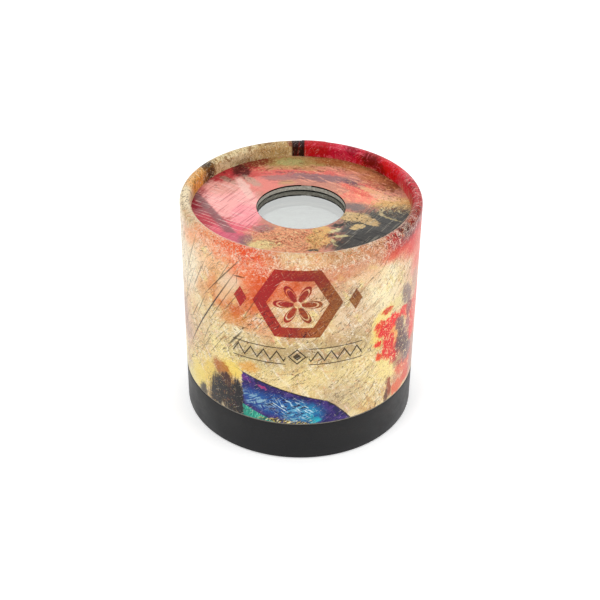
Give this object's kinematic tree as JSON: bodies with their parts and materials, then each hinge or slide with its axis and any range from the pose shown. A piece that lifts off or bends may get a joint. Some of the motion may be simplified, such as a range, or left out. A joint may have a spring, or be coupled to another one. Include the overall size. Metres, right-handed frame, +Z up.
{
  "type": "kaleidoscope",
  "caption": "Squat drum kaleidoscope with a rolled rim, recessed printed top with a round eyepiece window, mirror prism, and a turning black base that holds the bead cell.",
  "frame": {"origin": "on the drum's axis, in the plane that the base stands on", "axes": "+Z up along the drum's axis, out through the eyepiece; -Y is the front of the printed wrap, and the paper's seam is at +Y"},
  "size_m": [0.08, 0.08, 0.08],
  "materials": {
    "black_plastic": "satin",
    "black_paper": "satin",
    "frosted_acrylic": "matte",
    "clear_styrene": "gloss",
    "clear_acrylic": "gloss",
    "ruby_bead": "gloss",
    "amber_bead": "gloss",
    "sapphire_bead": "gloss",
    "emerald_bead": "gloss",
    "pearl_bead": "gloss",
    "gold_sequin": "gloss",
    "violet_bead": "gloss",
    "glide_card": "satin",
    "greyboard": "matte",
    "printed_paper": "satin",
    "printed_disc_paper": "satin",
    "black_tape": "satin",
    "black_card": "matte",
    "mirror": "polished",
    "packing_card": "matte"
  },
  "bodies": {
    "object_cell": {"base_ring": "black_plastic", "base_wrap": "black_paper", "cell_diffuser": "frosted_acrylic", "cell_spacer": "clear_styrene", "cell_cover": "clear_acrylic", "cell_lock_ring": "black_plastic"},
    "loose_beads": {"ruby_beads": "ruby_bead", "amber_beads": "amber_bead", "sapphire_tubes": "sapphire_bead", "emerald_chips": "emerald_bead", "pearl_rings": "pearl_bead", "gold_stars": "gold_sequin", "violet_hexes": "violet_bead"},
    "drum": {"glide_washer": "glide_card", "bearing_collar": "black_plastic", "liner_tube": "greyboard", "drum_tube": "greyboard", "printed_wrap": "printed_paper", "top_disc": "greyboard", "top_disc_print": "printed_disc_paper", "window_seal": "black_tape", "eyepiece_window": "clear_acrylic", "window_carrier": "greyboard", "upper_mirror_plate": "black_card", "lower_mirror_plate": "black_card", "mirror_1": "mirror", "mirror_2": "mirror", "mirror_3": "mirror", "mirror_tape_1": "black_tape", "mirror_tape_2": "black_tape", "mirror_tape_3": "black_tape", "packing_block_1": "packing_card", "packing_block_2": "packing_card", "packing_block_3": "packing_card"}
  },
  "joints": [
    {"name": "drum_turn", "type": "hinge", "parent": "object_cell", "child": "drum", "pos_m": [0, 0, 0.0148], "axis": [0, 0, 1], "continuous": true},
    {"name": "beads_tumble", "type": "hinge", "parent": "object_cell", "child": "loose_beads", "pos_m": [0, 0, 0.003], "axis": [0, 0, 1], "continuous": true}
  ]
}
